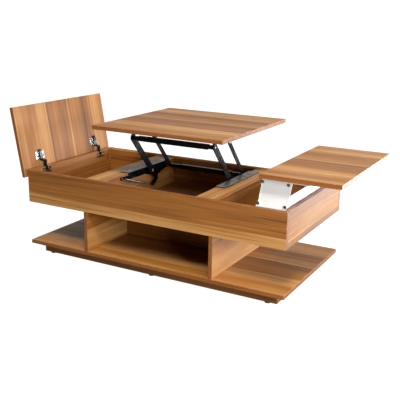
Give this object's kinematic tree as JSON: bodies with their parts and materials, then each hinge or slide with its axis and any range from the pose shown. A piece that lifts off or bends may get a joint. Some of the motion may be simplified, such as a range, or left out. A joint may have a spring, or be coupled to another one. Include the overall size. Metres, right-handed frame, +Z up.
{
  "type": "lift top coffee table",
  "caption": "Low rectangular storage table whose shallow box is closed by a hinged lid, a raising middle top and a side top that swings up and slides out.",
  "frame": {"origin": "on the floor under the middle of the table, at the centre glide", "axes": "+X along the table's length towards the side top that swings out, +Y towards the edge that the raised middle top moves over, +Z up"},
  "size_m": [1.4477, 0.676, 0.6321],
  "materials": {
    "walnut_board": "satin wood-grain laminate in bands of several tones",
    "black_steel": "semi-gloss black",
    "white_steel": "satin white",
    "bright_plating": "bright nickel plating",
    "black_hinge": "black",
    "fastener_steel": "zinc plated",
    "spring_steel": "oiled dark steel",
    "glide_plastic": "matt",
    "bumper_rubber": "translucent soft rubber"
  },
  "bodies": {
    "carcass": {"plinth_front": "walnut_board", "plinth_rear": "walnut_board", "plinth_left": "walnut_board", "plinth_middle": "walnut_board", "plinth_right": "walnut_board", "glides": "glide_plastic", "base_panel": "walnut_board", "divider_left": "walnut_board", "divider_right": "walnut_board", "middle_panel": "walnut_board", "box_bottom": "walnut_board", "box_front": "walnut_board", "box_rear": "walnut_board", "box_end_left": "walnut_board", "box_end_right": "walnut_board", "rail_left": "walnut_board", "rail_right": "walnut_board", "partition_left_inner": "walnut_board", "partition_left_outer": "walnut_board", "partition_right_inner": "walnut_board", "partition_right_outer": "walnut_board", "rim_bumpers": "bumper_rubber", "cam_locks": "fastener_steel", "hinge_cups": "bright_plating", "base_bracket_left": "black_steel", "base_bracket_right": "black_steel", "side_base_front": "white_steel", "side_base_rear": "white_steel", "fixed_pins": "fastener_steel", "base_screws": "fastener_steel"},
    "left_lid": {"left_lid": "walnut_board", "hinge_arms": "black_hinge", "hinge_plates": "bright_plating", "lid_screws": "fastener_steel"},
    "front_arms": {"front_arm_left": "black_steel", "front_arm_right": "black_steel", "upper_tube_sleeve": "black_steel", "upper_tube_ends": "black_steel", "front_arm_pins": "fastener_steel"},
    "rear_arms": {"rear_arm_left": "black_steel", "rear_arm_right": "black_steel", "lower_tube_sleeve": "black_steel", "lower_tube_ends": "black_steel"},
    "middle_top": {"middle_top": "walnut_board", "top_bracket_left": "black_steel", "top_bracket_right": "black_steel", "upper_rear_pins": "fastener_steel", "top_screws": "fastener_steel"},
    "spring_coils": {"spring_coils": "spring_steel"},
    "spring_wires": {"spring_wires": "spring_steel"},
    "swing_links_left": {"swing_links_left": "white_steel"},
    "swing_links_right": {"swing_links_right": "white_steel"},
    "side_frame": {"side_plate_front": "white_steel", "side_plate_rear": "white_steel", "side_crossbar": "white_steel", "slide_bars": "white_steel", "frame_pins": "fastener_steel", "plate_bolts": "fastener_steel"},
    "side_top": {"side_top": "walnut_board", "side_channels": "white_steel"}
  },
  "joints": [
    {"name": "lid_hinge", "type": "hinge", "parent": "carcass", "child": "left_lid", "pos_m": [-0.585, 0, 0.356], "axis": [0, 1, 0], "range_deg": [0, 100]},
    {"name": "lift_arms", "type": "hinge", "parent": "carcass", "child": "front_arms", "pos_m": [0, 0.064, 0.35], "axis": [1, 0, 0], "range_deg": [0, 54.6], "stiffness_Nm_per_rad": 6, "springref_deg": -114.59},
    {"name": "lift_rear_arms", "type": "hinge", "parent": "carcass", "child": "rear_arms", "pos_m": [0, 0.2, 0.35], "axis": [1, 0, 0], "range_deg": [0, 54.61]},
    {"name": "lift_top_level", "type": "hinge", "parent": "front_arms", "child": "middle_top", "pos_m": [0, -0.08296, 0.51906], "axis": [1, 0, 0], "range_deg": [-54.61, 0]},
    {"name": "spring_swing", "type": "hinge", "parent": "carcass", "child": "spring_coils", "pos_m": [0, -0.15, 0.353], "axis": [1, 0, 0], "range_deg": [0, 9.73]},
    {"name": "side_lift", "type": "hinge", "parent": "carcass", "child": "swing_links_left", "pos_m": [0.45115, 0, 0.28966], "axis": [0, -1, 0], "range_deg": [0, 108.64]},
    {"name": "side_right_links", "type": "hinge", "parent": "carcass", "child": "swing_links_right", "pos_m": [0.55515, 0, 0.28966], "axis": [0, -1, 0], "range_deg": [0, 108.65]},
    {"name": "side_level", "type": "hinge", "parent": "swing_links_left", "child": "side_frame", "pos_m": [0.462, 0, 0.378], "axis": [0, -1, 0], "range_deg": [-108.65, 0]},
    {"name": "side_slide", "type": "slide", "parent": "side_frame", "child": "side_top", "axis": [-1, 0, 0], "range_m": [0, 0.082]},
    {"name": "spring_stretch", "type": "slide", "parent": "spring_coils", "child": "spring_wires", "axis": [0, 0.9573, -0.289], "range_m": [0, 0.04121]}
  ],
  "couplings": [
    {"joint": "lift_rear_arms", "follows": "lift_arms", "ratio": 1},
    {"joint": "lift_top_level", "follows": "lift_arms", "ratio": -1},
    {"joint": "spring_swing", "follows": "lift_arms", "ratio": 0.17806},
    {"joint": "spring_stretch", "follows": "lift_arms", "m_per_rad": 0.043039},
    {"joint": "side_right_links", "follows": "side_lift", "ratio": 1},
    {"joint": "side_level", "follows": "side_lift", "ratio": -1}
  ]
}
